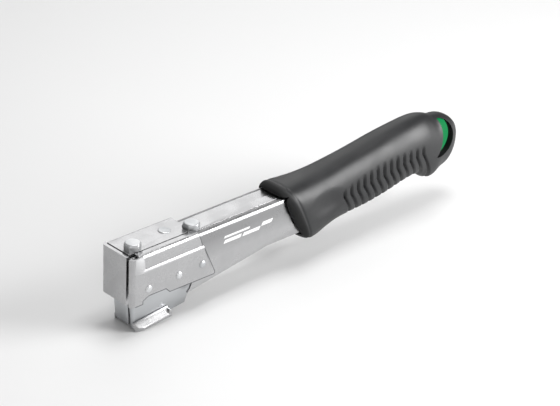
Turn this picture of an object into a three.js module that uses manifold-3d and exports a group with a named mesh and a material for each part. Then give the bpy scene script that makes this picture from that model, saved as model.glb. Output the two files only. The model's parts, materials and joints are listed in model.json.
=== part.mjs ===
// Hammer tacker: a steel head with a swinging magazine, on a channel arm with a rubber grip.
// Millimetres. X runs from the face of the head to the butt of the grip, +Y is the right-hand
// side for a hand on the grip, Z is up. While drawing, x = 0 is the front face and z = 0 is the
// top of the head; the finished group is moved so that the origin is the rest point on top.
import * as THREE from 'three';
import { ParametricGeometry } from 'three/addons/geometries/ParametricGeometry.js';
import { mergeVertices } from 'three/addons/utils/BufferGeometryUtils.js';
import Module from 'manifold-3d';

const wasm = await Module();
wasm.setup();

// Driving dimensions
const GAP = 0.3;                                  // play between fitted pieces
const FACE_Z = 18;                                 // the origin lies this far below the top, on the front face
const COVER = { out: 16.8, band: 15.7, t: 1.4, corner: 3.4, bottom: -37 };
const FRONT = { t: 2.6, farOut: 16.3, nearEdge: -11.9, seam: 1.5, bottom: -37.5 };
const TOP = { x0: 3.9, x1: 61.5, near: -9.6, t: 1.7 };
const ARM = {
  x0: 3.4, x1: 250, half: 13.2, wall: 1.5, lip: 9.7,
  top: -2, tray: -3.8, roof: -5.6, front: -32, heel: -46, bottom: -34.6,
};
const BOLT = { r: 6.3, h: 5.5, shank: 2.5, hole: 2.8 };
const FRONT_BOLT = { x: 11.5, y: -3.5, z: 0 };
const REAR_BOLT = { x: 64.2, y: -4.5, z: -1.7 };
const RIVET = { r: 2, head: 3, dome: 0.9, hole: 2.3 };
const FRONT_RIVET = { x: 15.5, z: -27.2 };
const MIDDLE_RIVET = { x: 43, z: -26.4 };
const PIVOT = { x: 64.6, z: -25.2 };
const REST_TILT = 5.5;                            // degrees that the magazine hangs down at rest
const STUD = { x: 45.6, y: 3, r: 4.6 };
const DRIVER = { x0: 9.1, t: 1.4, half: 5.2, tip: -51.5 };
const MAG = { half: 9, wall: 1.2, front: -59.5, top: -1, web: -8, bottom: -29.6 };
const RAIL = { x0: -52, x1: -14.3, half: 4.3, top: -21.8, wall: 1 };
const STICK = { x1: -38, half: 5.3, wall: 0.65, top: -20.9 };
const FOOT = { x0: -60.3, x1: -28.5, inner: 9.3, out: 14, bottom: -31.2 };
const ROD = { r: 1.2, z: -15.5, x0: -51, x1: -12.4 };
const SPRING = { r: 2.6, wire: 0.45, turns: 7 };
const RETURN_SPRING = { x: 29, r: 4.2, wire: 0.7, turns: 6, z0: -35.2, z1: -6.5 };
const CORE = { x0: 228, x1: 301, half: 9, plugHalf: 11.2 };
const INLAY = { x: 301, z: 1, r: 16.2 };          // outer edge of the core's exposed crescent
const BODY_END = { x: 280.8, z: 1, r: 29.7 };     // round end of the hand section
const HANG = { x: 308.2, z: -4.6, r: 14.6 };      // inner edge of the hanging loop
const CORE_PIN = { x: 240, z: -12.5, r: 2 };

// Grip stations from mouth to butt: top point, bottom point, half width, squareness
const GRIP = [
  { top: [141, 2.4], low: [163.5, -40.8], half: 18.2, square: 3.2 },
  { top: [143, 4.1], low: [166.8, -43], half: 19.4, square: 3.1 },
  { top: [152, 3.9], low: [174, -45.6], half: 19.7, square: 3 },
  { top: [162, 3.5], low: [181.5, -45.2], half: 19.2, square: 2.8 },
  { top: [174, 3.5], low: [191, -42.8], half: 18.4, square: 2.6 },
  { top: [190, 4.3], low: [202, -40.5], half: 17.6, square: 2.5 },
  { top: [208, 6.6], low: [216, -39.8], half: 17, square: 2.4 },
  { top: [228, 9.2], low: [234, -38.9], half: 16.8, square: 2.4 },
  { top: [250, 12.6], low: [254, -36.2], half: 16.8, square: 2.4 },
  { top: [270, 15.4], low: [272, -33.2], half: 16.8, square: 2.4 },
  { top: [282, 16.6], low: [286, -31.8], half: 16.6, square: 2.4 },
  { top: [292, 16.6], low: [293, -33.8], half: 16.2, square: 2.4 },
  { top: [300, 14.8], low: [299.5, -38], half: 15.5, square: 2.4 },
  { top: [307, 12.2], low: [306, -39.8], half: 14.7, square: 2.4 },
  { top: [315, 11], low: [313, -35.8], half: 13.5, square: 2.4 },
  { top: [323, 7.6], low: [321.5, -32], half: 12, square: 2.4 },
  { top: [328.8, 3], low: [327, -26.5], half: 9.6, square: 2.3 },
  { top: [332, -1.6], low: [330.5, -19], half: 6.4, square: 2.2 },
  { top: [333.8, -6.5], low: [333.6, -12], half: 2, square: 2 },
];

const FINISH = {
  chrome: { color: 0xc9cacc, roughness: 0.25, metalness: 1 },
  satin: { color: 0xb4b6b9, roughness: 0.4, metalness: 1 },
  tool: { color: 0x74777c, roughness: 0.5, metalness: 1 },
  staple: { color: 0xa9aeb2, roughness: 0.35, metalness: 1 },
  rubber: { color: 0x2b2c2e, roughness: 0.75, metalness: 0 },
  green: { color: 0x0c8a52, roughness: 0.5, metalness: 0 },
};

const rad = THREE.MathUtils.degToRad;

// ---- solids -------------------------------------------------------------------------------

function toSolid(geometry) {
  geometry.deleteAttribute('normal');
  geometry.deleteAttribute('uv');
  const merged = mergeVertices(geometry, 1e-4);
  const index = merged.index.array;
  const triangles = [];
  for (let i = 0; i < index.length; i += 3) {
    const [a, b, c] = [index[i], index[i + 1], index[i + 2]];
    if (a !== b && b !== c && c !== a) triangles.push(a, b, c);
  }
  return new wasm.Manifold(new wasm.Mesh({
    numProp: 3,
    vertProperties: new Float32Array(merged.attributes.position.array),
    triVerts: new Uint32Array(triangles),
  }));
}

function toGeometry(solid) {
  const mesh = solid.getMesh();
  const geometry = new THREE.BufferGeometry();
  geometry.setAttribute('position', new THREE.BufferAttribute(mesh.vertProperties.slice(), 3));
  geometry.setIndex(new THREE.BufferAttribute(mesh.triVerts.slice(), 1));
  geometry.computeVertexNormals();
  return geometry;
}

function block(x0, x1, y0, y1, z0, z1) {
  const geometry = new THREE.BoxGeometry(x1 - x0, y1 - y0, z1 - z0);
  return toSolid(geometry.translate((x0 + x1) / 2, (y0 + y1) / 2, (z0 + z1) / 2));
}

function outline(points) {
  return new THREE.Shape(points.map(([a, b]) => new THREE.Vector2(a, b)));
}

function extrude(shape, depth, curveSegments = 6) {
  return new THREE.ExtrudeGeometry(shape, { depth, bevelEnabled: false, curveSegments });
}

// An (x, z) shape as a plate between y0 and y1
function sidePlate(shape, y0, y1) {
  return toSolid(extrude(shape, y1 - y0).rotateX(Math.PI / 2).translate(0, y1, 0));
}

// A (y, z) shape as a bar between x0 and x1
function bar(shape, x0, x1) {
  const turn = new THREE.Matrix4().makeBasis(
    new THREE.Vector3(0, 1, 0), new THREE.Vector3(0, 0, 1), new THREE.Vector3(1, 0, 0));
  return toSolid(extrude(shape, x1 - x0).applyMatrix4(turn).translate(x0, 0, 0));
}

// An (x, y) shape as a column between z0 and z1
function column(shape, z0, z1) {
  return toSolid(extrude(shape, z1 - z0).translate(0, 0, z0));
}

function cylinder(r, length, sides = 20) {
  return new THREE.CylinderGeometry(r, r, length, sides);
}

// A round bar along Y centred at (x, z)
function crossRod(x, z, r, y0, y1, sides = 20) {
  return toSolid(cylinder(r, y1 - y0, sides).translate(x, (y0 + y1) / 2, z));
}

function uprightRod(x, y, r, z0, z1, sides = 20) {
  return toSolid(cylinder(r, z1 - z0, sides).rotateX(Math.PI / 2).translate(x, y, (z0 + z1) / 2));
}

function lengthwiseRod(r, x0, x1, z, sides = 16) {
  return toSolid(cylinder(r, x1 - x0, sides).rotateZ(Math.PI / 2).translate((x0 + x1) / 2, 0, z));
}

function helix(radius, turns, length) {
  const steps = turns * 10;
  const points = [];
  for (let i = 0; i <= steps; i += 1) {
    const angle = (i / 10) * Math.PI * 2;
    points.push(new THREE.Vector3(radius * Math.cos(angle), radius * Math.sin(angle), (i / steps) * length));
  }
  return new THREE.CatmullRomCurve3(points);
}

// A coil standing on z = 0
function coil({ r, wire, turns }, length) {
  const section = new THREE.Shape();
  section.absarc(0, 0, wire, 0, Math.PI * 2);
  const path = helix(r, turns, length - 2 * wire);
  return new THREE.ExtrudeGeometry(section, { steps: turns * 10, extrudePath: path, curveSegments: 3 })
    .translate(0, 0, wire);
}

function mesh(name, solid, finish) {
  const geometry = solid.isBufferGeometry ? solid : toGeometry(solid);
  const piece = new THREE.Mesh(geometry, new THREE.MeshStandardMaterial(FINISH[finish]));
  piece.name = name;
  return piece;
}

// ---- arm ----------------------------------------------------------------------------------

// Upside-down channel with two round shoulders and a shallow tray between them
function armSection() {
  const { half, wall, top, lip, tray, roof, heel } = ARM;
  const r = half - lip;
  const shape = new THREE.Shape();
  shape.moveTo(-half, heel);
  shape.lineTo(-half + wall, heel);
  shape.lineTo(-half + wall, roof);
  shape.lineTo(half - wall, roof);
  shape.lineTo(half - wall, heel);
  shape.lineTo(half, heel);
  shape.lineTo(half, top - r);
  shape.absarc(lip, top - r, r, 0, Math.PI / 2, false);
  shape.lineTo(lip, tray);
  shape.lineTo(-lip, tray);
  shape.lineTo(-lip, top);
  shape.absarc(-lip, top - r, r, Math.PI / 2, Math.PI, false);
  shape.lineTo(-half, heel);
  return shape;
}

// Side view of the arm: cut away over the magazine, deepest behind it, then tapering; inside
// the grip its lower edge rises clear of the palm
function armSide(spread, front) {
  return outline([
    [front, ARM.front - spread], [59.2, ARM.front - spread], [58.6, -39.2], [56.6, -43.3],
    [54, ARM.heel - spread], [66, -44.1 - spread], [130, ARM.bottom - spread], [188, ARM.bottom - spread],
    [215, -24 - spread], [ARM.x1 + spread, -20 - spread], [ARM.x1 + spread, ARM.top + spread],
    [front, ARM.top + spread],
  ]);
}

function armChannel() {
  let arm = bar(armSection(), ARM.x0, ARM.x1).intersect(sidePlate(armSide(0, ARM.x0), -20, 20));
  for (const rivet of [FRONT_RIVET, MIDDLE_RIVET, PIVOT, CORE_PIN]) {
    arm = arm.subtract(crossRod(rivet.x, rivet.z, RIVET.hole, -20, 20));
  }
  for (const bolt of [FRONT_BOLT, REAR_BOLT]) {
    arm = arm.subtract(uprightRod(bolt.x, bolt.y, BOLT.hole, -10, 5));
  }
  return arm;
}

function armLid() {
  const lid = block(62, 232, -ARM.lip + GAP, ARM.lip - GAP, ARM.tray + GAP, ARM.top - 0.2);
  return lid.subtract(uprightRod(REAR_BOLT.x, REAR_BOLT.y, BOLT.hole, -10, 5));
}

// ---- head ---------------------------------------------------------------------------------

function frontPlate() {
  const { t, farOut, nearEdge, bottom } = FRONT;
  const r = COVER.corner;
  const shape = new THREE.Shape();
  shape.moveTo(t, nearEdge);
  shape.lineTo(t, farOut - r);
  shape.absarc(r + 0.2, farOut - r, r - t + 0.2, Math.PI, Math.PI / 2, true);
  shape.lineTo(r + 0.2, farOut);
  shape.absarc(r, farOut - r, r, Math.PI / 2, Math.PI, false);
  shape.lineTo(0, nearEdge);
  return column(shape, bottom, 0);
}

function topPlate() {
  const { x0, x1, near, t } = TOP;
  const out = FRONT.farOut;
  const r = 2.5;
  const shape = new THREE.Shape();
  shape.moveTo(near, 0);
  shape.lineTo(near, -t);
  shape.lineTo(out - r, -t);
  shape.absarc(out - r, -r, r - t, Math.PI / 2, 0, true);
  shape.lineTo(out - t, -4);
  shape.lineTo(out, -4);
  shape.lineTo(out, -r);
  shape.absarc(out - r, -r, r, 0, Math.PI / 2, false);
  return bar(shape, x0, x1)
    .subtract(uprightRod(FRONT_BOLT.x, FRONT_BOLT.y, BOLT.hole, -10, 5))
    .subtract(uprightRod(REAR_BOLT.x, REAR_BOLT.y, BOLT.r + 0.5, -10, 5, 28))
    .subtract(uprightRod(STUD.x, STUD.y, RIVET.hole, -10, 5));
}

// Lower outline of both covers, rear corner to front, then back up the rear slant
function coverOutline(front, top) {
  return outline([
    ...top, [66, -11.6], [76.6, -34.6], [76.8, -36], [75.6, COVER.bottom],
    [34.6, -36.6], [31, -33], [15.5, -33], [8, -36.7], [front, -38], [front, top[0][1]],
  ]);
}

function rivetHoles(solid) {
  for (const rivet of [FRONT_RIVET, MIDDLE_RIVET, PIVOT]) {
    solid = solid.subtract(crossRod(rivet.x, rivet.z, RIVET.hole, -20, 20));
  }
  return solid;
}

// The left cover is pressed: a raised lower panel, a recessed band above it, a folded top
// flange and a rounded front corner
function leftCover() {
  const { out, band, t, corner } = COVER;
  const panelTop = [[3.4, -11.8], [65.5, -11.2]];
  const panel = sidePlate(coverOutline(3.4, panelTop), -out, -out + t);

  const fold = new THREE.Shape();
  const r = 2.5;
  fold.moveTo(TOP.near - GAP, 0);
  fold.lineTo(-band + r, 0);
  fold.absarc(-band + r, -r, r, Math.PI / 2, Math.PI, false);
  fold.lineTo(-band, -12.6);
  fold.lineTo(-band + t, -12.6);
  fold.lineTo(-band + t, -r);
  fold.absarc(-band + r, -r, r - t, Math.PI, Math.PI / 2, true);
  fold.lineTo(TOP.near - GAP, -t);
  const reach = outline([[8, 1], [61.8, 1], [61.8, -0.5], [63.6, -5], [66.2, -13], [8, -13]]);
  const upper = bar(fold, 8, 70).intersect(sidePlate(reach, -20, 0));

  const wrap = new THREE.Shape();
  wrap.moveTo(0, FRONT.nearEdge - FRONT.seam);
  wrap.absarc(corner, -out + corner, corner, Math.PI, Math.PI * 1.5, false);
  wrap.lineTo(10.5, -out);
  wrap.lineTo(10.5, -out + t);
  wrap.lineTo(corner, -out + t);
  wrap.absarc(corner, -out + corner, corner - t, Math.PI * 1.5, Math.PI, true);
  wrap.lineTo(t, FRONT.nearEdge - FRONT.seam);
  const post = column(wrap, -38, -0.4);
  const gusset = sidePlate(outline([[10, -0.4], [10.7, -0.4], [12.2, -9.6], [14.6, -12.4], [10, -12.4]]), -out, -out + t);
  return rivetHoles(panel.add(upper).add(post).add(gusset));
}

function rightCover() {
  const topEdge = [[4.2, -4.3], [63.2, -4.3]];
  return rivetHoles(sidePlate(coverOutline(4.2, topEdge), FRONT.farOut - COVER.t, FRONT.farOut));
}

function hexBolt({ x, y, z }, tip) {
  const hex = toSolid(cylinder(BOLT.r, BOLT.h, 6).rotateX(Math.PI / 2).translate(0, 0, BOLT.h / 2));
  const profile = [[0, -1], [BOLT.r + 0.5, -1], [BOLT.r + 0.5, BOLT.h - 1.5], [BOLT.r - 1.2, BOLT.h], [0, BOLT.h]];
  const head = hex.intersect(toSolid(lathed(profile, 24).rotateX(Math.PI / 2)));
  return head.add(uprightRod(0, 0, BOLT.shank, tip - z, 0.5)).translate([x, y, z]);
}

function lathed(profile, sides) {
  return new THREE.LatheGeometry(profile.map(([r, h]) => new THREE.Vector2(r, h)), sides);
}

// A rivet with a low round dome, through one cover and the arm's wall beside it
function coverRivet({ x, z }, side) {
  const { r, head, dome } = RIVET;
  const face = (side < 0 ? COVER.out : FRONT.farOut) + 0.05;
  const inner = ARM.half - ARM.wall;
  const profile = [
    [0, inner], [r, inner], [r, face], [head, face], [head * 0.88, face + dome * 0.5],
    [head * 0.55, face + dome * 0.9], [0, face + dome],
  ];
  const rivet = toSolid(lathed(profile, 20)).translate([x, 0, z]);
  return side > 0 ? rivet : rivet.mirror([0, 1, 0]);
}

// The magazine's hinge pin, headed on both covers
function pivotPin({ x, z }) {
  const { r, head, dome } = RIVET;
  const left = -COVER.out - 0.05;
  const right = FRONT.farOut + 0.05;
  const profile = [
    [0, left - dome], [head * 0.55, left - dome * 0.9], [head * 0.88, left - dome * 0.5], [head, left],
    [r, left], [r, right], [head, right], [head * 0.88, right + dome * 0.5],
    [head * 0.55, right + dome * 0.9], [0, right + dome],
  ];
  return toSolid(lathed(profile, 20)).translate([x, 0, z]);
}

function stud() {
  const { x, y, r } = STUD;
  const profile = [[0, -3], [RIVET.r, -3], [RIVET.r, 0], [r, 0], [r, 0.3], [r - 0.6, 0.6], [r - 1.6, 0.35], [0, 0.35]];
  return toSolid(lathed(profile, 24).rotateX(Math.PI / 2)).translate([x, y, 0]);
}

function driverBlock() {
  return block(DRIVER.x0 + DRIVER.t + GAP, 24, -11.3, 11.3, -20, ARM.roof - GAP)
    .subtract(uprightRod(FRONT_BOLT.x, FRONT_BOLT.y, BOLT.hole, -21, 0));
}

function driverBlade() {
  const { x0, t, half, tip } = DRIVER;
  return block(x0, x0 + t, -half, half, tip, -22).add(block(x0 - 0.6, x0 + t, -11, 11, -22, ARM.roof - GAP))
    .subtract(uprightRod(FRONT_BOLT.x, FRONT_BOLT.y, BOLT.hole, -21, 0));
}

function rearBlock() {
  return block(57, 71, -11.3, 4, -15, ARM.roof - GAP)
    .subtract(uprightRod(REAR_BOLT.x, REAR_BOLT.y, BOLT.hole, -16, 0));
}

// ---- magazine, drawn level about its pivot ------------------------------------------------

function magazineSide(front) {
  return outline([
    [front, MAG.top], [-12, MAG.top], [-7, 2], [-4, 5.5], [4, 5.5], [6.5, 0], [3, -8], [-3.5, -16.8],
    [-5.9, -20.8], [-9, -23.2], [-12.3, MAG.bottom], [front, MAG.bottom],
  ]);
}

// Two side plates joined by a web; the left plate turns the front corner
function magazineShell() {
  const { half, wall, front, top, web: webTop, bottom } = MAG;
  const right = sidePlate(magazineSide(front + 0.9), half - wall, half);
  const left = sidePlate(magazineSide(front + 2.5), -half, -half + wall);
  const wrap = new THREE.Shape();
  const r = 2.5;
  wrap.moveTo(front, -half + r + 0.2);
  wrap.absarc(front + r, -half + r, r, Math.PI, Math.PI * 1.5, false);
  wrap.lineTo(front + r + 1, -half);
  wrap.lineTo(front + r + 1, -half + wall);
  wrap.lineTo(front + r, -half + wall);
  wrap.absarc(front + r, -half + r, r - wall, Math.PI * 1.5, Math.PI, true);
  wrap.lineTo(front + wall, -half + r + 0.2);
  const web = block(-51, -15, -half, half, webTop - wall, webTop);
  return left.add(right).add(web).add(column(wrap, bottom, top - 2))
    .subtract(crossRod(0, 0, RIVET.hole, -20, 20));
}

function nosePlate() {
  const face = MAG.front - 0.9;
  const tongue = outline([
    [-MAG.half + 2.8, MAG.top - 2], [MAG.half, MAG.top - 2], [MAG.half, MAG.bottom + 4], [MAG.half - 1.5, MAG.bottom + 2.5],
    [-MAG.half + 4.3, MAG.bottom + 2.5], [-MAG.half + 2.8, MAG.bottom + 4],
  ]);
  return bar(tongue, face, face + 1.3);
}

// A runner that flares out from the foot of the side plate
function foot(side) {
  const { x0, x1, inner, out, bottom } = FOOT;
  const section = outline([
    [inner, -24.6], [inner + 1, -24.6], [out, -29.4], [out, bottom], [out - 2.4, bottom], [inner, -28],
  ].map(([y, z]) => [side * y, z]));
  const plan = outline([
    [x0, inner], [x1, inner], [x1, out], [x0 + 7, out], [x0 + 3, out - 1], [x0 + 0.8, out - 2.8],
  ].map(([x, y]) => [x, side * y]));
  const tab = block(x1 - 1.6, x1, Math.min(side * inner, side * out), Math.max(side * inner, side * out), -29.6, -25.4);
  return bar(section, x0, x1).add(tab).intersect(column(plan, -40, -20));
}

function stapleRail() {
  const { x0, x1, half, top, wall } = RAIL;
  return block(x0, x1, -half, half, MAG.bottom + 0.5, top)
    .subtract(block(x0 - 1, x1 + 1, -half + wall, half - wall, MAG.bottom - 1, top - wall));
}

function stapleStick() {
  const { x1, half, wall, top } = STICK;
  return block(RAIL.x0, x1, -half, half, MAG.bottom + 0.6, top)
    .subtract(block(RAIL.x0 - 1, x1 + 1, -half + wall, half - wall, MAG.bottom - 1, top - wall));
}

function rearStop() {
  return block(RAIL.x1 + GAP, RAIL.x1 + 1.5, -MAG.half + MAG.wall + GAP, MAG.half - MAG.wall - GAP, -28, -10)
    .subtract(lengthwiseRod(ROD.r + GAP, -20, -10, ROD.z));
}

function pusher() {
  const x0 = STICK.x1 + GAP;
  const saddle = block(x0, x0 + 4.5, -STICK.half, STICK.half, MAG.bottom + 0.6, -11.5);
  return saddle
    .subtract(block(x0 - 1, x0 + 6, -RAIL.half - GAP, RAIL.half + GAP, MAG.bottom - 1, RAIL.top + GAP))
    .subtract(lengthwiseRod(ROD.r + GAP, x0 - 1, x0 + 6, ROD.z));
}

function pusherSpring() {
  const start = STICK.x1 + GAP + 4.5 + GAP;
  const length = RAIL.x1 - start;
  return coil(SPRING, length).rotateY(Math.PI / 2).translate(start, 0, ROD.z);
}

// ---- grip ---------------------------------------------------------------------------------

function track(pick) {
  return new THREE.CatmullRomCurve3(GRIP.map(pick), false, 'centripetal');
}

const gripTop = track(({ top }) => new THREE.Vector3(top[0], 0, top[1]));
const gripLow = track(({ low }) => new THREE.Vector3(low[0], 0, low[1]));
const gripForm = track(({ half, square }, i) => new THREE.Vector3(i * 10, half, square));

function superEllipse(value, square) {
  return Math.sign(value) * Math.abs(value) ** (2 / square);
}

// A point on the skin: u runs round the section, v from the mouth to the butt
function gripPoint(u, v, target) {
  const inside = THREE.MathUtils.clamp((v - 0.02) / 0.96, 0, 1);
  const top = gripTop.getPoint(inside);
  const low = gripLow.getPoint(inside);
  const form = gripForm.getPoint(inside);
  const shrink = v <= 0 || v >= 1 ? 0 : 1;
  const angle = u * Math.PI * 2;
  const across = superEllipse(Math.cos(angle), form.z) * form.y * shrink;
  const up = superEllipse(Math.sin(angle), form.z) * 0.5 * shrink;
  target.addVectors(top, low).multiplyScalar(0.5).addScaledVector(top.sub(low), up);
  target.y += across;
}

function gripBlank() {
  const around = 28;
  const along = 50;
  return toSolid(new ParametricGeometry(gripPoint, around, along));
}

function drum({ x, z, r }, spread) {
  return crossRod(x, z, r + spread, -30, 30, 48);
}

function gripCore(blank) {
  const crescent = blank.intersect(drum(INLAY, 0).subtract(drum(BODY_END, 0)));
  const shank = block(ARM.x1, CORE.x1, -CORE.half, CORE.half, -19, 4);
  const neck = block(CORE.x1 - 8, INLAY.x + 8, -CORE.half, CORE.half, -14, 6);
  const plug = block(CORE.x0, ARM.x1 + 0.3, -CORE.plugHalf, CORE.plugHalf, -18, ARM.roof - GAP);
  return shank.add(neck).add(plug).add(crescent).subtract(crossRod(CORE_PIN.x, CORE_PIN.z, RIVET.hole, -20, 20));
}

// The mouth is cut wider than the arm so that the lip stands clear of it
function mouthPocket() {
  const side = outline([[125, -0.6], [149, -0.6], [169, -36.6], [125, -36.6]]);
  return sidePlate(side, -14.9, 14.9);
}

function gripSleeve(blank) {
  const armSpace = sidePlate(armSide(0.4, 3), -ARM.half - 0.4, ARM.half + 0.4);
  const coreSpace = block(ARM.x1, CORE.x1 + GAP, -CORE.half - GAP, CORE.half + GAP, -19 - GAP, 4 + GAP)
    .add(block(CORE.x1 - 8, INLAY.x + 8, -CORE.half - GAP, CORE.half + GAP, -14 - GAP, 6 + GAP));
  const loop = drum(HANG, 0).subtract(drum(BODY_END, -GAP));
  const inlay = drum(INLAY, GAP).subtract(drum(BODY_END, -GAP));
  return blank.subtract(armSpace).subtract(mouthPocket()).subtract(coreSpace).subtract(inlay).subtract(loop);
}

// ---- assembly -----------------------------------------------------------------------------

function magazineGroup() {
  const group = new THREE.Group();
  group.add(mesh('magazine_shell', magazineShell(), 'satin'));
  group.add(mesh('nose_plate', nosePlate(), 'satin'));
  group.add(mesh('left_foot', foot(-1), 'chrome'));
  group.add(mesh('right_foot', foot(1), 'chrome'));
  group.add(mesh('staple_rail', stapleRail(), 'tool'));
  group.add(mesh('staple_stick', stapleStick(), 'staple'));
  group.add(mesh('rear_stop', rearStop(), 'tool'));
  group.add(mesh('guide_rod', lengthwiseRod(ROD.r, ROD.x0, ROD.x1, ROD.z), 'tool'));
  group.add(mesh('pusher', pusher(), 'tool'));
  group.add(mesh('pusher_spring', pusherSpring(), 'tool'));
  group.position.set(PIVOT.x, 0, PIVOT.z);
  group.rotation.y = -rad(REST_TILT);
  return group;
}

function headGroup() {
  const group = new THREE.Group();
  const { x, z0, z1 } = RETURN_SPRING;
  const returnSpring = coil(RETURN_SPRING, z1 - z0).translate(x, 0, z0);
  group.add(mesh('front_plate', frontPlate(), 'chrome'));
  group.add(mesh('top_plate', topPlate(), 'chrome'));
  group.add(mesh('left_cover', leftCover(), 'chrome'));
  group.add(mesh('right_cover', rightCover(), 'chrome'));
  group.add(mesh('front_bolt', hexBolt(FRONT_BOLT, -18), 'chrome'));
  group.add(mesh('rear_bolt', hexBolt(REAR_BOLT, -13), 'chrome'));
  for (const [name, side] of [['left', -1], ['right', 1]]) {
    group.add(mesh(`${name}_front_rivet`, coverRivet(FRONT_RIVET, side), 'chrome'));
    group.add(mesh(`${name}_middle_rivet`, coverRivet(MIDDLE_RIVET, side), 'chrome'));
  }
  group.add(mesh('pivot_pin', pivotPin(PIVOT), 'chrome'));
  group.add(mesh('top_stud', stud(), 'chrome'));
  group.add(mesh('driver_block', driverBlock(), 'tool'));
  group.add(mesh('driver_blade', driverBlade(), 'tool'));
  group.add(mesh('rear_block', rearBlock(), 'tool'));
  group.add(mesh('return_spring', returnSpring, 'tool'));
  return group;
}

function handleGroup() {
  const group = new THREE.Group();
  const blank = gripBlank();
  group.add(mesh('arm_channel', armChannel(), 'chrome'));
  group.add(mesh('arm_lid', armLid(), 'chrome'));
  group.add(mesh('grip_core', gripCore(blank), 'green'));
  group.add(mesh('core_pin', crossRod(CORE_PIN.x, CORE_PIN.z, CORE_PIN.r, -ARM.half, ARM.half), 'tool'));
  group.add(mesh('grip_sleeve', gripSleeve(blank), 'rubber'));
  return group;
}

const tacker = new THREE.Group();
tacker.add(headGroup(), handleGroup(), magazineGroup());
tacker.position.z = FACE_Z;

export default tacker;
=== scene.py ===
import json
import math
import bisect
import bpy
import bmesh
from mathutils import Matrix, Vector


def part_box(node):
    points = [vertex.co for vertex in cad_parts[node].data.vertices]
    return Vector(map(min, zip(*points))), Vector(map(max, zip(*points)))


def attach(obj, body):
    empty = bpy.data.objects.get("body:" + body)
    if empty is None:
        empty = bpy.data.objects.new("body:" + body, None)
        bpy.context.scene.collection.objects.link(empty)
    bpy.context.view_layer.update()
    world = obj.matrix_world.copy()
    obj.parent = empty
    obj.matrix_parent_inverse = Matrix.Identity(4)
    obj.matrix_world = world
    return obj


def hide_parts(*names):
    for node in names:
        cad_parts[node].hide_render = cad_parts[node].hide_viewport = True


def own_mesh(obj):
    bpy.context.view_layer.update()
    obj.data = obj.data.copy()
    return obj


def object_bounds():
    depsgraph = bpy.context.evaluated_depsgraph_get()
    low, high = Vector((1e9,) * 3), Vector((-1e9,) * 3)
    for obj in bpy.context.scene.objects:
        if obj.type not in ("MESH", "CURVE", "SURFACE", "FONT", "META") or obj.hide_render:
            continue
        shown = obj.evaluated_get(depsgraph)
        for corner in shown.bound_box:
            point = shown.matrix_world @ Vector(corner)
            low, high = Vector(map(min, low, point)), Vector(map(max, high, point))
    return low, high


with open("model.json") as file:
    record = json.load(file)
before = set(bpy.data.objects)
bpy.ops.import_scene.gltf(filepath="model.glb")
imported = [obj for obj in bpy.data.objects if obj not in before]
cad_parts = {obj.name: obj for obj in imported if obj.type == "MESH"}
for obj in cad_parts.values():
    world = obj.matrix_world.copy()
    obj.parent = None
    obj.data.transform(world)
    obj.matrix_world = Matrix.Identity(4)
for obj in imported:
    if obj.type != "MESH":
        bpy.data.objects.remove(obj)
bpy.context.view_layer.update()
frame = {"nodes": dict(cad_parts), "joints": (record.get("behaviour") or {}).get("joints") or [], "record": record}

mm = 0.001
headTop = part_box("top_plate")[1].z
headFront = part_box("front_plate")[0].x
print("frame loaded,", len(frame["nodes"]), "nodes")


def place(x, y, z):
    # millimetres from the head's front face, the centre plane and the head's top
    return Vector((headFront + x * mm, y * mm, headTop + z * mm))


def newPiece(name, bm, body, nodes=()):
    mesh = bpy.data.meshes.new(name)
    bm.to_mesh(mesh)
    bm.free()
    piece = bpy.data.objects.new(name, mesh)
    bpy.context.scene.collection.objects.link(piece)
    if body:
        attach(piece, body)
        if nodes:
            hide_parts(*nodes)
    return piece


def smoothShade(piece, sharpAngle=35):
    piece.data.polygons.foreach_set("use_smooth", [True] * len(piece.data.polygons))
    piece.data.set_sharp_from_angle(angle=math.radians(sharpAngle))
    piece.data.update()


def copyOf(node):
    # a merged copy of a CAD node, with the triangles of each flat face joined
    bm = bmesh.new()
    bm.from_mesh(frame["nodes"][node].data)
    mergeWithin = 0.002 * mm
    bmesh.ops.remove_doubles(bm, verts=bm.verts[:], dist=mergeWithin)
    flat = math.radians(0.4)
    bmesh.ops.dissolve_limit(bm, angle_limit=flat, verts=bm.verts[:], edges=bm.edges[:])
    bm.normal_update()
    return bm


def cutBy(piece, tool, operation="DIFFERENCE"):
    change = piece.modifiers.new(operation.lower(), "BOOLEAN")
    change.operation = operation
    change.solver = "EXACT"
    change.object = tool
    evaluated = piece.evaluated_get(bpy.context.evaluated_depsgraph_get())
    mesh = bpy.data.meshes.new_from_object(evaluated)
    piece.modifiers.clear()
    piece.data = mesh
    bpy.data.objects.remove(tool)
    return piece


def box(x0, x1, y0, y1, z0, z1):
    bm = bmesh.new()
    bmesh.ops.create_cube(bm, size=1)
    low, high = place(x0, y0, z0), place(x1, y1, z1)
    bmesh.ops.scale(bm, vec=high - low, verts=bm.verts)
    bmesh.ops.translate(bm, vec=(low + high) / 2, verts=bm.verts)
    return newPiece("cutter", bm, None)


def drum(circle, extra, sides=144):
    # a crosswise round cutter, wider than the whole grip
    bm = bmesh.new()
    radius = (circle["r"] + extra) * mm
    bmesh.ops.create_cone(bm, cap_ends=True, segments=sides, radius1=radius, radius2=radius,
                          depth=60 * mm)
    bmesh.ops.rotate(bm, matrix=Matrix.Rotation(math.radians(90), 3, "X"), verts=bm.verts)
    bmesh.ops.translate(bm, vec=place(circle["x"], 0, circle["z"]), verts=bm.verts)
    return newPiece("cutter", bm, None)


def sidePrism(points, half):
    # an outline seen from the side, taken across from -half to half
    bm = bmesh.new()
    face = bm.faces.new([bm.verts.new(place(x, -half, z)) for x, z in points])
    grown = bmesh.ops.extrude_face_region(bm, geom=[face])["geom"]
    ends = [v for v in grown if isinstance(v, bmesh.types.BMVert)]
    bmesh.ops.translate(bm, vec=(0, 2 * half * mm, 0), verts=ends)
    bmesh.ops.recalc_face_normals(bm, faces=bm.faces)
    return newPiece("cutter", bm, None)


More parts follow.
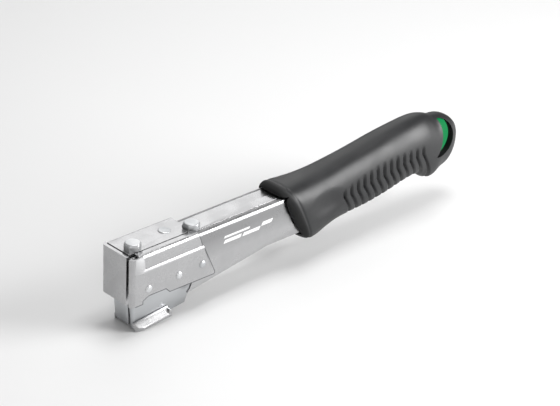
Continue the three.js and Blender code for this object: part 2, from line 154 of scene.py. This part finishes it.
def linear(hexColour):
    parts = [int(hexColour[i:i + 2], 16) / 255 for i in (1, 3, 5)]
    return tuple(c / 12.92 if c < 0.04045 else ((c + 0.055) / 1.055) ** 2.4 for c in parts) + (1.0,)


def addNode(tree, kind, settings=None, links=None):
    node = tree.nodes.new(kind)
    for key, value in (settings or {}).items():
        if key in node.inputs.keys() or isinstance(key, int):
            node.inputs[key].default_value = value
        else:
            setattr(node, key, value)
    for key, source in (links or {}).items():
        tree.links.new(source, node.inputs[key])
    return node


def newMaterial(name, base, metallic, roughness, **more):
    material = bpy.data.materials.new(name)
    material.use_nodes = True
    tree = material.node_tree
    shader = tree.nodes["Principled BSDF"]
    shader.inputs["Base Color"].default_value = linear(base)
    shader.inputs["Metallic"].default_value = metallic
    shader.inputs["Roughness"].default_value = roughness
    for key, value in more.items():
        shader.inputs[key].default_value = value
    where = addNode(tree, "ShaderNodeTexCoord").outputs["Object"]
    return material, tree, shader, where


def grain(tree, where, size, detail=3, stretch=(1, 1, 1)):
    # noise with features about this many millimetres across
    turned = addNode(tree, "ShaderNodeMapping", {"Scale": stretch}, {"Vector": where})
    settings = {"Scale": 1 / (size * mm), "Detail": detail, "Roughness": 0.55}
    return addNode(tree, "ShaderNodeTexNoise", settings, {"Vector": turned.outputs[0]}).outputs["Fac"]


def spread(tree, value, low, high, start=0.3, end=0.7):
    settings = {"From Min": start, "From Max": end, "To Min": low, "To Max": high}
    return addNode(tree, "ShaderNodeMapRange", settings, {"Value": value}).outputs[0]


def maths(tree, operation, a, b):
    node = addNode(tree, "ShaderNodeMath", {"operation": operation})
    for socket, value in zip(node.inputs, (a, b)):
        if isinstance(value, (int, float)):
            socket.default_value = value
        else:
            tree.links.new(value, socket)
    return node.outputs[0]


def blendColours(tree, factor, first, second):
    # either colour is a hex value or another node's output
    node = addNode(tree, "ShaderNodeMix", {"data_type": "RGBA"}, {0: factor})
    for socket, colour in ((node.inputs[6], first), (node.inputs[7], second)):
        if isinstance(colour, str):
            socket.default_value = linear(colour)
        else:
            tree.links.new(colour, socket)
    return node.outputs[2]


def bump(tree, shader, height, depth):
    node = addNode(tree, "ShaderNodeBump", {"Distance": depth * mm}, {"Height": height})
    tree.links.new(node.outputs[0], shader.inputs["Normal"])


handledPatch = 14                                   # mm: patches that handling leaves on plate


def platedSteel(name, look):
    # nickel-chrome plate on pressed sheet: bright, with soft broken-up reflections of the sheet's grain
    material, tree, shader, where = newMaterial(name, look["colour"], 1.0, look["rough"])
    fine = grain(tree, where, look["grain"], 4)
    cloud = grain(tree, where, handledPatch)
    patches = spread(tree, cloud, look["rough"] - 0.05, look["rough"] + 0.07)
    rough = maths(tree, "ADD", spread(tree, fine, -0.04, 0.05), patches)
    tree.links.new(rough, shader.inputs["Roughness"])
    tone = blendColours(tree, spread(tree, cloud, 0, 1), look["colour"], look["dull"])
    tree.links.new(tone, shader.inputs["Base Color"])
    bump(tree, shader, fine, look["bump"])
    return material, tree, shader, where


plateLook = {"colour": "#b7b7b8", "dull": "#afafb0", "rough": 0.27, "grain": 0.5, "bump": 0.004}
armLook = {
    "colour": "#b5b5b6", "dull": "#adadae", "rough": 0.3, "grain": 0.5, "bump": 0.004,
    "bars": [(88, 104, -18.4, -15.8), (106, 122, -18.4, -15.8), (88, 112, -14.2, -12.6),
             (124, 134, -16.2, -13.4)],
    "slant": 0.6, "nearWall": -12.9, "etched": "#e0e0e0", "etchedRough": 0.75,
    # the plate is painted darker from clearFrom up to deepAt, a painted reflection
    "paintedReflectionTone": "#8c8c8d", "deepAt": -10, "clearFrom": -26, "paintedReflectionStrength": 0.8,
}
boltLook = {"colour": "#d0d1d2", "dull": "#b0b2b4", "rough": 0.33, "grain": 0.35, "bump": 0.006,
            "metallic": 0.7}
wirePitch = 0.7                                     # staple wire, mm
rubberLook = {
    "pale": "#141517", "dark": "#0d0e10", "cloud": 22, "grain": 0.45, "bump": 0.03,
    # matt is the lip's colour, painted near-black as shade where the lip turns in round the arm
    "mouth": (141, 2.4), "lean": 0.52, "mattTo": 5, "clearFrom": 10, "matt": "#060607",
    "mattRough": 0.8, "polish": 0.41, "unevenness": 0.1,
}


def barMask(tree, where):
    # 1 inside any of the slanted bars on the near wall of the arm, 0 elsewhere
    lean = armLook["slant"]
    axes = addNode(tree, "ShaderNodeSeparateXYZ", None, {0: where}).outputs
    near = maths(tree, "LESS_THAN", axes[1], armLook["nearWall"] * mm)
    slant = maths(tree, "SUBTRACT", axes[0], maths(tree, "MULTIPLY", axes[2], lean))
    total = None
    for x0, x1, z0, z1 in armLook["bars"]:
        low, high = place(x0, 0, z0), place(x1, 0, z1)
        centre = (low + high) / 2
        along = maths(tree, "SUBTRACT", slant, centre.x - lean * centre.z)
        above = maths(tree, "SUBTRACT", axes[2], centre.z)
        inside = maths(tree, "MULTIPLY",
                       maths(tree, "LESS_THAN", maths(tree, "ABSOLUTE", along, 0), (high.x - low.x) / 2),
                       maths(tree, "LESS_THAN", maths(tree, "ABSOLUTE", above, 0), (high.z - low.z) / 2))
        total = inside if total is None else maths(tree, "MAXIMUM", total, inside)
    return maths(tree, "MULTIPLY", total, near)


def makeMaterials():
    made = {}
    made["bright nickel-chrome plate"] = platedSteel("bright nickel-chrome plate", plateLook)[0]

    # thicker, duller plate on the fasteners, which softens what they reflect
    material, tree, shader, where = platedSteel("bright plated fasteners", boltLook)
    shader.inputs["Metallic"].default_value = boltLook["metallic"]
    made["bright plated fasteners"] = material

    # the covers' plate on the arm, painted a deeper tone under its upper edge as a painted reflection, with plain
    # bars etched matt
    material, tree, shader, where = platedSteel("etched chrome arm", armLook)
    tone = shader.inputs["Base Color"].links[0].from_socket
    height = addNode(tree, "ShaderNodeSeparateXYZ", None, {0: where}).outputs[2]
    low, high = place(0, 0, armLook["clearFrom"]).z, place(0, 0, armLook["deepAt"]).z
    deep = spread(tree, height, 0, armLook["paintedReflectionStrength"], low, high)
    shaded = blendColours(tree, deep, tone, armLook["paintedReflectionTone"])
    mask = barMask(tree, where)
    tree.links.new(blendColours(tree, mask, shaded, armLook["etched"]), shader.inputs["Base Color"])
    matt = maths(tree, "MULTIPLY", mask, armLook["etchedRough"])
    rough = shader.inputs["Roughness"].links[0].from_socket
    tree.links.new(maths(tree, "MAXIMUM", rough, matt), shader.inputs["Roughness"])
    tree.links.new(maths(tree, "SUBTRACT", 1.0, matt), shader.inputs["Metallic"])
    made["etched chrome arm"] = material

    # plated steel with a rolled grain: greyer and softer than the covers
    material, tree, shader, where = newMaterial("satin zinc-plated steel", "#b9bbbd", 1.0, 0.36)
    lines = grain(tree, where, 0.4, 3, (0.08, 1, 1))
    tree.links.new(spread(tree, lines, 0.3, 0.45), shader.inputs["Roughness"])
    bump(tree, shader, lines, 0.005)
    made["satin zinc-plated steel"] = material

    # dull dark steel, painted on as shade along the covers' rear and lower outlines and on the channel's floor
    # under the lid
    material, tree, shader, where = newMaterial("dark band of painted shade", "#606163", 1.0, 0.5)
    tree.links.new(spread(tree, grain(tree, where, 0.5), 0.48, 0.62), shader.inputs["Roughness"])
    made["dark band of painted shade"] = material

    # hardened steel, painted darker than its mid grey as shade so that gaps into the head read dark, with lines
    # left by grinding
    material, tree, shader, where = newMaterial("tool steel darkened as painted shade", "#3a3b3e", 1.0, 0.42)
    lines = grain(tree, where, 0.5, 3, (1, 1, 0.12))
    tree.links.new(spread(tree, lines, 0.34, 0.52), shader.inputs["Roughness"])
    made["tool steel darkened as painted shade"] = material

    # galvanised wire: pale grey with a faint blue tint, and a line between each two staples
    material, tree, shader, where = newMaterial("galvanised staple wire", "#b4b9be", 1.0, 0.34)
    bandScale = 0.314 / (wirePitch * mm)             # a band texture of scale s repeats every 0.314 / s
    settings = {"wave_type": "BANDS", "bands_direction": "X", "Scale": bandScale}
    wires = addNode(tree, "ShaderNodeTexWave", settings, {"Vector": where}).outputs["Fac"]
    bump(tree, shader, wires, 0.08)
    made["galvanised staple wire"] = material

    # moulded thermoplastic rubber: charcoal with a fine spark-eroded grain and a broad soft highlight, left matt
    # on the lip round the arm, where its colour is painted darker as shade
    look = rubberLook
    specular = {"Specular IOR Level": 0.5}
    name = "moulded rubber grip"
    material, tree, shader, where = newMaterial(name, look["dark"], 0.0, 0.44, **specular)
    fine = grain(tree, where, look["grain"], 2)
    cloud = grain(tree, where, look["cloud"])
    axes = addNode(tree, "ShaderNodeSeparateXYZ", None, {0: where}).outputs
    fromMouth = maths(tree, "ADD", axes[0], maths(tree, "MULTIPLY", axes[2], look["lean"]))
    mouth = place(look["mouth"][0], 0, look["mouth"][1])
    start = mouth.x + mouth.z * look["lean"]
    body = spread(tree, fromMouth, 0, 1, start + look["mattTo"] * mm, start + look["clearFrom"] * mm)
    gloss = maths(tree, "SUBTRACT", look["mattRough"], maths(tree, "MULTIPLY", body, look["polish"]))
    uneven = spread(tree, cloud, 0, look["unevenness"])
    tree.links.new(maths(tree, "ADD", gloss, uneven), shader.inputs["Roughness"])
    skin = blendColours(tree, spread(tree, cloud, 0, 1), look["dark"], look["pale"])
    tree.links.new(blendColours(tree, body, look["matt"], skin), shader.inputs["Base Color"])
    bump(tree, shader, fine, look["bump"])
    made[name] = material

    # injection-moulded ABS: saturated green with an even satin gloss
    specular = {"Specular IOR Level": 0.06}
    material, tree, shader, where = newMaterial("green ABS core", "#006837", 0.0, 0.5, **specular)
    bump(tree, shader, grain(tree, where, 0.6, 2), 0.01)
    made["green ABS core"] = material
    return made


materials = makeMaterials()
print("materials made,", len(materials))


def paint(piece, name):
    piece.data.materials.append(materials[name])
    return piece


# steel pieces are the CAD shapes with real edges
# node: width of its rounded edges in mm, and segments
edges = {
    "front_plate": (0.4, 3), "top_plate": (0.3, 3), "left_cover": (0.35, 3), "right_cover": (0.35, 3),
    "arm_channel": (0.3, 3), "arm_lid": (0.3, 3), "left_foot": (0.4, 3), "right_foot": (0.4, 3),
    "front_bolt": (0.35, 3), "rear_bolt": (0.35, 3), "top_stud": (0.2, 2), "pivot_pin": (0.15, 2),
    "left_front_rivet": (0.15, 2), "right_front_rivet": (0.15, 2),
    "left_middle_rivet": (0.15, 2), "right_middle_rivet": (0.15, 2),
    "magazine_shell": (0.25, 2), "nose_plate": (0.25, 2), "staple_rail": (0.15, 2),
    "staple_stick": (0.2, 2),
    "rear_stop": (0.2, 2), "guide_rod": (0.15, 2), "pusher": (0.3, 2), "driver_block": (0.3, 2),
    "driver_blade": (0.15, 2), "rear_block": (0.3, 2), "core_pin": (0.2, 2),
}
finishes = {
    "chrome": "bright nickel-chrome plate", "satin_steel": "satin zinc-plated steel",
    "tool_steel": "tool steel darkened as painted shade", "staple_wire": "galvanised staple wire",
}
fasteners = ("bolt", "rivet", "stud", "pin")
# how far, in mm, a near edge is drawn back to open a dark joint beside it
seams = {"top_plate": 0.6, "arm_lid": 0.8, "front_plate": 1.2, "nose_plate": 0.7}
stepLook = {"front": (3.4, -11.8), "back": (65.5, -11.2), "tall": 1.5, "inner": -15.75,
            "outside": -16.7, "behind": 13, "within": 0.08}
rimLook = {"wide": 0.55, "panelFrom": 15.5, "shortest": 1.2}
trayLook = {"below": -3, "above": -5}               # the channel's floor under the lid
bevelFrom = 32                                      # degrees: sharper edges are bevelled
shortEdge = 1.0                                     # mm: shorter edges of sheet stay sharp


def openSeam(bm, width):
    edge = min(v.co.y for v in bm.verts)
    for vert in bm.verts:
        if vert.co.y < edge + 0.3 * mm:
            vert.co.y += width * mm


def slopeStep(bm):
    # the panel's top edge is a pressed slope, which catches the light as a bright line
    (x0, z0), (x1, z1) = stepLook["front"], stepLook["back"]
    tall = stepLook["tall"]
    start, end = place(x0, 0, z0 - tall), place(x1, 0, z1 - tall)
    across = Vector((start.z - end.z, 0, end.x - start.x)).normalized()
    geom = bm.verts[:] + bm.edges[:] + bm.faces[:]
    bmesh.ops.bisect_plane(bm, geom=geom, plane_co=start, plane_no=across, dist=0.001 * mm)
    limit = place(stepLook["behind"], stepLook["outside"], 0)
    for vert in bm.verts:
        off = (vert.co - place(x0, 0, z0)).dot(across)
        if vert.co.y < limit.y and vert.co.x > limit.x and abs(off) < stepLook["within"] * mm:
            vert.co.y = place(0, stepLook["inner"], 0).y


def paintedShadeRim(bm, side):
    # a narrow band round the rear and lower outline of a cover, painted dull and dark as the shade where the cover
    # meets the arm
    def isPanel(face):
        outside = abs(face.calc_center_median().y) > rimLook["panelFrom"] * mm
        return outside and face.normal.y * side > 0.98

    def isCut(face):
        return abs(face.normal.y) < 0.3 and (face.normal.x > 0.3 or face.normal.z < -0.3)

    bm.normal_update()
    panel = [f for f in bm.faces if isPanel(f)]
    band = bmesh.ops.inset_region(bm, faces=panel, thickness=rimLook["wide"] * mm,
                                  use_boundary=True, use_even_offset=True)["faces"]
    for face in band:
        longEdges = [e for e in face.edges if e.calc_length() > rimLook["shortest"] * mm]
        if any(isCut(other) for e in longEdges for other in e.link_faces if other != face):
            face.material_index = 1


def paintedShadeTray(bm):
    # the floor under the lid is painted dark as shade, so the joint beside the lid reads dark
    low, high = place(0, 0, trayLook["above"]).z, place(0, 0, trayLook["below"]).z
    for face in bm.faces:
        if face.normal.z > 0.9 and low < face.calc_center_median().z < high:
            face.material_index = 1


def refine(node, body, slotName):
    width, segments = edges[node]
    isFastener = any(word in node for word in fasteners)
    bm = copyOf(node)
    if node in seams:
        openSeam(bm, seams[node])
    if node == "left_cover":
        slopeStep(bm)
    if "cover" in node:
        paintedShadeRim(bm, -1 if node == "left_cover" else 1)
    if node == "arm_channel":
        paintedShadeTray(bm)
    bm.normal_update()
    shortest = 0 if isFastener else shortEdge * mm
    angle = math.radians(bevelFrom)
    sharp = [e for e in bm.edges
             if e.is_manifold and e.calc_face_angle() > angle and e.calc_length() > shortest]
    bmesh.ops.bevel(bm, geom=sharp, offset=width * mm, offset_type="OFFSET", affect="EDGES",
                    segments=segments, profile=0.5, material=-1, clamp_overlap=True)
    piece = newPiece(node + "_finished", bm, body, (node,))
    smoothShade(piece, bevelFrom)
    finish = finishes[slotName]
    if slotName == "chrome" and isFastener:
        finish = "bright plated fasteners"
    if node == "arm_channel":
        finish = "etched chrome arm"
    paint(piece, finish)
    # covers and the arm take a second, dark material as painted shade
    if "cover" in node or node == "arm_channel":
        paint(piece, "dark band of painted shade")


slotOf = {row["node"]: row["material_slot"] for row in frame["record"]["subparts"]}
bodyOf = {node: body for body, nodes in frame["record"]["behaviour"]["bodies"].items() for node in nodes}
for node in edges:
    refine(node, bodyOf[node], slotOf[node])
print("steel pieces finished,", len(edges))


returnSpring = {"node": "return_spring", "r": 4.2, "wire": 0.7, "turns": 6,
                "joint": "magazine_pivot", "keep": 0.82}
pusherSpring = {"node": "pusher_spring", "r": 2.6, "wire": 0.45, "turns": 7,
                "joint": "pusher_slide", "keep": 0.52}
wireSides = 12
stepsPerTurn = 28


def coilSpring(look, start, end):
    bm = bmesh.new()
    axis = (end - start).normalized()
    length = (end - start).length - 2 * look["wire"] * mm
    ring = bmesh.ops.create_circle(bm, segments=wireSides, radius=look["wire"] * mm)["verts"]
    bmesh.ops.rotate(bm, matrix=Matrix.Rotation(math.radians(90), 3, "X"), verts=ring)
    bmesh.ops.translate(bm, vec=(look["r"] * mm, 0, look["wire"] * mm), verts=ring)
    steps = look["turns"] * stepsPerTurn
    bmesh.ops.spin(bm, geom=bm.verts[:] + bm.edges[:], cent=(0, 0, 0), axis=(0, 0, 1),
                   dvec=(0, 0, length / steps), angle=2 * math.pi * look["turns"], steps=steps)
    bmesh.ops.remove_doubles(bm, verts=bm.verts[:], dist=0.005 * mm)
    bmesh.ops.holes_fill(bm, edges=[e for e in bm.edges if e.is_boundary], sides=wireSides)
    bmesh.ops.recalc_face_normals(bm, faces=bm.faces)
    turn = Vector((0, 0, 1)).rotation_difference(axis).to_matrix().to_4x4()
    bmesh.ops.transform(bm, matrix=Matrix.Translation(start) @ turn, verts=bm.verts)
    node = look["node"]
    piece = newPiece(node + "_finished", bm, bodyOf[node], (node,))
    smoothShade(piece, 60)
    paint(piece, "tool steel darkened as painted shade")
    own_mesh(piece)


low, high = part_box("return_spring")
top = Vector(((low.x + high.x) / 2, 0, high.z))
coilSpring(returnSpring, Vector((top.x, 0, low.z)), top)

slideAxis = Vector(next(j["axis"] for j in frame["joints"] if j["name"] == "pusher_slide")).normalized()
low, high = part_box("pusher_spring")
centre = (low + high) / 2
halfLength = ((high.x - low.x) / 2 - pusherSpring["r"] * mm * slideAxis.z) / slideAxis.x
rearEnd = centre + slideAxis * halfLength
coilSpring(pusherSpring, centre - slideAxis * halfLength, rearEnd)
print("springs wound")


# sections from the mouth to the butt: top point, bottom point, half width, squareness
gripSections = [
    (141, 2.4, 163.5, -40.8, 18.2, 3.2), (143, 4.1, 166.8, -43, 19.4, 3.1),
    (152, 3.9, 174, -45.6, 19.7, 3), (162, 3.5, 181.5, -45.2, 19.2, 2.8),
    (174, 3.5, 191, -42.8, 18.4, 2.6), (190, 4.3, 202, -40.5, 17.6, 2.5),
    (208, 6.6, 216, -39.8, 17, 2.4), (228, 9.2, 234, -38.9, 16.8, 2.4),
    (250, 12.6, 254, -36.2, 16.8, 2.35), (270, 15.4, 272, -33.2, 16.8, 2.15),
    (282, 16.6, 286, -31.8, 16.6, 2.1), (292, 16.6, 293, -33.8, 16.2, 2.1),
    (300, 14.8, 299.5, -38, 15.5, 2.1), (307, 12.2, 306, -39.8, 14.7, 2.1),
    (315, 11, 313, -35.8, 13.5, 2.2), (323, 7.6, 321.5, -32, 12, 2.4),
    (328.8, 3, 327, -26.5, 9.6, 2.3), (332, -1.6, 330.5, -19, 6.4, 2.2),
    (333.8, -6.5, 333.6, -12, 2, 2),
]
gripLook = {
    "around": 176, "along": 380,
    "lipDeep": 3.2, "lipLong": 9.5, "lipPower": 1.35,      # the mouth edge leans in at its end
    "creaseAt": 11.2, "creaseDeep": 0.4, "creaseWide": 1.2,
    "grooves": 13, "firstTop": (203, -12.5), "lastTop": (285.5, -3.1), "topRise": 4,
    "lean": 0.46, "knee": 2.4, "kneeDown": 6, "deep": 2.0, "wide": 1.9, "fadeIn": (-1.5, 4),
    "scoopAt": (186, -17), "scoopSize": (21, 12), "scoopDeep": 1.6, "scoopBeyond": 8,
}
thinnest = 0.3                                      # mm, so that no section shrinks to nothing
# outlines seen from the side, each with a half width: the mouth and the slot that the arm fills
mouthPocket = ([(125, -0.6), (149, -0.6), (169, -36.6), (125, -36.6)], 14.9)
armPocket = ([(120, -1.6), (250.4, -1.6), (250.4, -20.4), (215, -24.4), (188, -35), (120, -35.4)], 13.6)
# boxes: the sleeve's hollow for the core, and the core's own plug
corePocket = (249, 301.3, -9.3, 9.3, -19.3, 4.3)
corePlug = (250.5, 309, -9, 9, -14, 4)
fitGap = 0.3                                        # play between sleeve and core, mm
coreLook = {"inset": 0.6, "around": 96, "along": 180}
bodyEnd = {"x": 280.8, "z": 1, "r": 29.7}           # round end of the hand section
inlay = {"x": 301, "z": 1, "r": 16.2}               # outer edge of the green crescent
hangLoop = {"x": 308.2, "z": -4.6, "r": 14.6}       # inner edge of the hanging loop


def smoothStep(value, low, high):
    t = min(max((value - low) / (high - low), 0), 1)
    return t * t * (3 - 2 * t)


def sectionAt(t):
    # a smooth curve through the stations
    last = len(gripSections) - 1
    i = min(int(t * last), last - 1)
    f = t * last - i
    p0, p1, p2, p3 = (gripSections[min(max(i + k, 0), last)] for k in (-1, 0, 1, 2))
    values = []
    for a, b, c, d in zip(p0, p1, p2, p3):
        values.append(0.5 * (2 * b + (c - a) * f + (2 * a - 5 * b + 4 * c - d) * f ** 2
                             + (3 * b - a - 3 * c + d) * f ** 3))
    return values


def evenStations(count):
    # stations spaced evenly along the skin, so that the round butt is not left coarse
    fine = 2000
    samples = [sectionAt(i / fine) for i in range(fine + 1)]
    travelled = [0]
    for a, b in zip(samples, samples[1:]):
        step = (math.hypot(b[0] - a[0], b[1] - a[1]) + math.hypot(b[2] - a[2], b[3] - a[3])) / 2
        travelled.append(travelled[-1] + step + abs(b[4] - a[4]) * 0.5)
    rows = []
    for j in range(count + 1):
        goal = travelled[-1] * j / count
        i = min(max(bisect.bisect_left(travelled, goal), 1), fine)
        span = travelled[i] - travelled[i - 1] or 1
        rows.append((goal, sectionAt((i - 1 + (goal - travelled[i - 1]) / span) / fine)))
    return rows


def grooveDepth(x, z):
    # chevron finger grooves whose knees point at the head
    look = gripLook
    (x0, z0), (x1, z1) = look["firstTop"], look["lastTop"]
    ratio = (x - x0) / (x1 - x0)
    down = z0 + (z1 - z0) * min(max(ratio, -0.1), 1.1) - z
    inside = down + look["topRise"] * math.sin(math.pi * min(max(ratio, 0), 1))
    fadeLow, fadeHigh = look["fadeIn"]
    if inside < fadeLow:
        return 0
    reach = look["kneeDown"] if down < look["kneeDown"] else 3 * look["kneeDown"]
    knee = look["knee"] * max(0, 1 - abs(down - look["kneeDown"]) / reach)
    along = x - look["lean"] * max(down, 0) + knee
    pitch = (x1 - x0) / (look["grooves"] - 1)
    number = round((along - x0) / pitch)
    if number < 0 or number >= look["grooves"]:
        return 0
    off = abs(along - x0 - number * pitch)
    shape = 0.5 + 0.5 * math.cos(math.pi * min(off / look["wide"], 1))
    return look["deep"] * shape * smoothStep(inside, fadeLow, fadeHigh)


def skinDepth(x, y, z, travelled):
    look = gripLook
    depth = grooveDepth(x, z)
    off = (travelled - look["creaseAt"]) / look["creaseWide"]
    depth += look["creaseDeep"] * math.exp(-off * off)
    dx = (x - look["scoopAt"][0]) / look["scoopSize"][0]
    dz = (z - look["scoopAt"][1]) / look["scoopSize"][1]
    if abs(y) > look["scoopBeyond"]:
        depth += look["scoopDeep"] * (1 - smoothStep(math.hypot(dx, dz), 0.1, 1))
    return depth


def gripSkin(inset, around, along, patterned):
    # a grid wrapped round the sections, then closed at both ends
    bm = bmesh.new()
    bmesh.ops.create_grid(bm, x_segments=around, y_segments=along, size=0.5)
    rows = evenStations(along)
    for vert in bm.verts:
        turn = (vert.co.x + 0.5) * 2 * math.pi
        travelled, (topX, topZ, lowX, lowZ, half, square) = rows[round((vert.co.y + 0.5) * along)]
        toLip = max(0, 1 - travelled / gripLook["lipLong"])
        edge = inset + gripLook["lipDeep"] * toLip ** gripLook["lipPower"]
        across, up = math.cos(turn), math.sin(turn)
        across = math.copysign(abs(across) ** (2 / square), across)
        up = math.copysign(abs(up) ** (2 / square), up)
        tall = math.hypot(topX - lowX, topZ - lowZ) / 2
        shrink = max(tall - edge, thinnest) / tall
        middleX, middleZ = (topX + lowX) / 2, (topZ + lowZ) / 2
        x = middleX + (topX - lowX) / 2 * up * shrink
        z = middleZ + (topZ - lowZ) / 2 * up * shrink
        y = across * max(half - edge, thinnest)
        if patterned:
            size = math.hypot(y, z - middleZ) or 1
            keep = 1 - skinDepth(x, y, z, travelled) / size
            x, y, z = middleX + (x - middleX) * keep, y * keep, middleZ + (z - middleZ) * keep
        vert.co = place(x, y, z)
    bmesh.ops.remove_doubles(bm, verts=bm.verts[:], dist=0.01 * mm)
    bmesh.ops.holes_fill(bm, edges=[e for e in bm.edges if e.is_boundary], sides=0)
    bmesh.ops.triangulate(bm, faces=[f for f in bm.faces if len(f.verts) > 4])
    bmesh.ops.recalc_face_normals(bm, faces=bm.faces)
    return bm


def gripSleeve():
    look = gripLook
    sleeve = newPiece("rubber_grip", gripSkin(0, look["around"], look["along"], True), None)
    cutBy(sleeve, sidePrism(*mouthPocket))
    cutBy(sleeve, sidePrism(*armPocket))
    cutBy(sleeve, cutBy(drum(hangLoop, 0), drum(bodyEnd, -fitGap)))
    cutBy(sleeve, cutBy(drum(inlay, fitGap), drum(bodyEnd, -fitGap)))
    cutBy(sleeve, box(*corePocket))
    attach(sleeve, "handle")
    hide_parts("grip_sleeve")
    smoothShade(sleeve, 48)
    return paint(sleeve, "moulded rubber grip")


def greenCore():
    look = coreLook
    skin = gripSkin(look["inset"], look["around"], look["along"], False)
    core = newPiece("green_core", skin, None)
    cutBy(core, drum(inlay, 0), "INTERSECT")
    cutBy(core, drum(bodyEnd, 0))
    cutBy(core, box(*corePlug), "UNION")
    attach(core, "handle")
    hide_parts("grip_core")
    smoothShade(core, 40)
    return paint(core, "green ABS core")


gripSleeve()
print("grip moulded")
greenCore()
print("core moulded")


# the floor's half width is in metres, and its place under the tool in mm
studio = {"floor": "#e0e0e0", "world": "#ffffff", "worldPower": 0.32,
          "floorHalf": 6, "floorBelow": 0.2}
view = {"azimuth": 44.01, "elevation": 28.08, "roll": 2.5, "distance": 1713.3, "lens": 160.71,
        "aim": (92.1, -63.8, 34.0)}
# name: place in mm from the aim, width and height in mm, watts
lamps = {
    "overhead softbox": ((150, 40, 900), (450, 450), 5),
    "near side softbox": ((850, -800, 360), (640, 800), 21),
    "far panel": ((620, 700, 520), (700, 700), 2.1),
    "front panel": ((-760, -790, 560), (520, 520), 3),
}


def buildStudio():
    low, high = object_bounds()
    bm = bmesh.new()
    bmesh.ops.create_grid(bm, x_segments=1, y_segments=1, size=studio["floorHalf"])
    bmesh.ops.translate(bm, vec=(0, 0, low.z - studio["floorBelow"] * mm), verts=bm.verts)
    floor = newPiece("floor", bm, None)
    material = newMaterial("pale matt floor", studio["floor"], 0.0, 0.8)[0]
    floor.data.materials.append(material)

    world = bpy.data.worlds.new("studio")
    world.use_nodes = True
    sky = world.node_tree.nodes["Background"]
    sky.inputs["Color"].default_value = linear(studio["world"])
    sky.inputs["Strength"].default_value = studio["worldPower"]
    bpy.context.scene.world = world

    aim = place(*view["aim"])
    for name, (offset, size, watts) in lamps.items():
        light = bpy.data.lights.new(name, "AREA")
        light.shape = "RECTANGLE"
        light.size, light.size_y = size[0] * mm, size[1] * mm
        light.energy = watts
        lamp = bpy.data.objects.new(name, light)
        lamp.location = aim + Vector(offset) * mm
        lamp.rotation_euler = (aim - lamp.location).to_track_quat("-Z", "Y").to_euler()
        bpy.context.scene.collection.objects.link(lamp)


def buildCamera():
    turn, rise, roll = (math.radians(view[key]) for key in ("azimuth", "elevation", "roll"))
    ahead = Vector((math.sin(turn) * math.cos(rise), math.cos(turn) * math.cos(rise), -math.sin(rise)))
    level = ahead.cross(Vector((0, 0, 1))).normalized()
    upright = level.cross(ahead)
    right = level * math.cos(roll) + upright * math.sin(roll)
    up = upright * math.cos(roll) - level * math.sin(roll)
    data = bpy.data.cameras.new("camera")
    data.lens = view["lens"]
    data.sensor_width = 36
    data.clip_end = 50
    camera = bpy.data.objects.new("camera", data)
    bpy.context.scene.collection.objects.link(camera)
    pose = Matrix((right, up, -ahead)).transposed().to_4x4()
    pose.translation = place(*view["aim"]) - ahead * view["distance"] * mm
    camera.matrix_world = pose
    bpy.context.scene.camera = camera


buildStudio()
buildCamera()
bpy.context.scene.view_settings.view_transform = "Standard"
print("studio ready")
